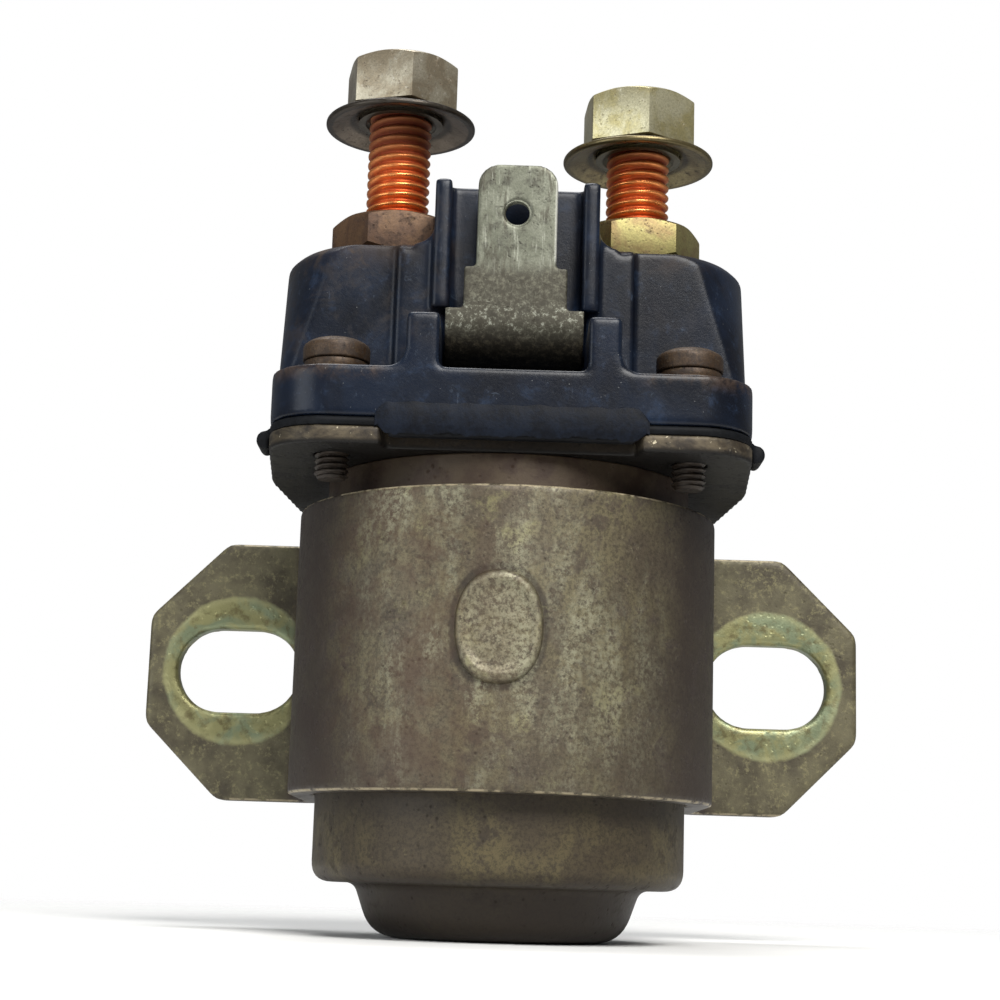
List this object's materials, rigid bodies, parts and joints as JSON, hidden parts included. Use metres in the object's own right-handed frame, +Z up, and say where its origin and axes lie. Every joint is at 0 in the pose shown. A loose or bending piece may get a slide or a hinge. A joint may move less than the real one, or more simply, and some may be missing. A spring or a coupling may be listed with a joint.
{
  "type": "battery relay switch",
  "caption": "Coil-driven battery switch: steel can in a slotted strap bracket, moulded cap, threaded copper studs with nuts, and a front blade terminal.",
  "frame": {"origin": "midway between the two ear slots, on the back face of the ears, which is the face that meets the bulkhead", "axes": "+Z up along the can and the terminal studs, +Y out of the back of the ears, -Y the front with the blade terminal, +X to the right seen from the front"},
  "size_m": [0.094, 0.0515, 0.1091],
  "materials": {
    "can_steel": "grimy zinc plate, nearly matt",
    "bracket_zinc": "worn yellow zinc plate with brown grime",
    "soft_iron": "turned, plain",
    "bobbin_plastic": "moulded",
    "enamelled_copper": "enamelled copper wire, wound",
    "coil_tape_cloth": "varnished cloth tape",
    "red_fibre": "vulcanised fibre",
    "tube_brass": "drawn",
    "rod_steel": "ground",
    "spring_steel": "plain spring steel",
    "bridge_copper": "bright copper",
    "contact_silver": "silver facing, burnished",
    "insulator_brown": "moulded",
    "black_rubber": "matt",
    "plate_steel": "grimy, edge worn to bare metal",
    "cap_plastic": "blue-black moulding, satin, scuffed",
    "stud_copper": "bright copper plate",
    "washer_steel": "worn zinc plate",
    "nut_rusty": "light rust",
    "nut_tan_zinc": "worn zinc plate, tan",
    "nut_yellow_zinc": "pale yellow zinc plate",
    "blade_tin": "tin plate, stained",
    "lead_insulation": "sleeved wire",
    "screw_steel": "rusty zinc plate"
  },
  "bodies": {
    "housing": {"can": "can_steel", "strap_bracket": "bracket_zinc", "lower_yoke_washer": "soft_iron", "bobbin": "bobbin_plastic", "coil_winding": "enamelled_copper", "coil_tape": "coil_tape_cloth", "fibre_spacer": "red_fibre", "guide_tube": "tube_brass", "fixed_core": "soft_iron", "bump_pad": "black_rubber", "yoke_plate": "plate_steel", "gasket": "black_rubber", "cap": "cap_plastic", "stud_left": "stud_copper", "stud_right": "stud_copper", "stud_seals": "black_rubber", "flat_washer_left": "washer_steel", "flat_washer_right": "washer_steel", "lower_nut_left": "nut_rusty", "lower_nut_right": "nut_yellow_zinc", "blade_terminal": "blade_tin", "live_lead": "lead_insulation", "earth_lead": "lead_insulation", "lead_grommet": "black_rubber", "cover_screws": "screw_steel", "spring_washers": "spring_steel", "screw_washers": "screw_steel"},
    "armature": {"plunger": "soft_iron", "push_rod": "rod_steel", "retaining_clip": "spring_steel", "return_spring": "spring_steel", "contact_spring": "spring_steel"},
    "bridge": {"contact_bridge": "bridge_copper", "bridge_contacts": "contact_silver", "bridge_insulator_lower": "insulator_brown", "bridge_insulator_upper": "insulator_brown"},
    "left_washer": {"cone_washer_left": "washer_steel"},
    "left_nut": {"terminal_nut_left": "nut_tan_zinc"},
    "right_washer": {"cone_washer_right": "washer_steel"},
    "right_nut": {"terminal_nut_right": "nut_yellow_zinc"}
  },
  "joints": [
    {"name": "plunger_slide", "type": "slide", "parent": "housing", "child": "armature", "axis": [0, 0, 1], "range_m": [0, 0.0028], "stiffness_N_per_m": 600, "springref_m": -0.006, "deforming": ["return_spring"]},
    {"name": "bridge_float", "type": "slide", "parent": "armature", "child": "bridge", "axis": [0, 0, 1], "range_m": [-0.00084, 0], "deforming": ["contact_spring"]},
    {"name": "left_nut_rise", "type": "slide", "parent": "housing", "child": "left_washer", "axis": [0, 0, 1], "range_m": [-0.01251, 0.00376]},
    {"name": "left_nut_spin", "type": "hinge", "parent": "left_washer", "child": "left_nut", "pos_m": [-0.0152, -0.02535, 0.0702], "axis": [0, 0, 1], "range_deg": [-3600, 1080]},
    {"name": "right_nut_rise", "type": "slide", "parent": "housing", "child": "right_washer", "axis": [0, 0, 1], "range_m": [-0.00845, 0.00751]},
    {"name": "right_nut_spin", "type": "hinge", "parent": "right_washer", "child": "right_nut", "pos_m": [0.0152, -0.02535, 0.0663], "axis": [0, 0, 1], "range_deg": [-2430, 2160]}
  ],
  "couplings": [
    {"joint": "bridge_float", "follows": "plunger_slide", "ratio": -0.29643},
    {"joint": "left_nut_rise", "follows": "left_nut_spin", "m_per_rad": 0.00019894},
    {"joint": "right_nut_rise", "follows": "right_nut_spin", "m_per_rad": 0.00019894}
  ]
}
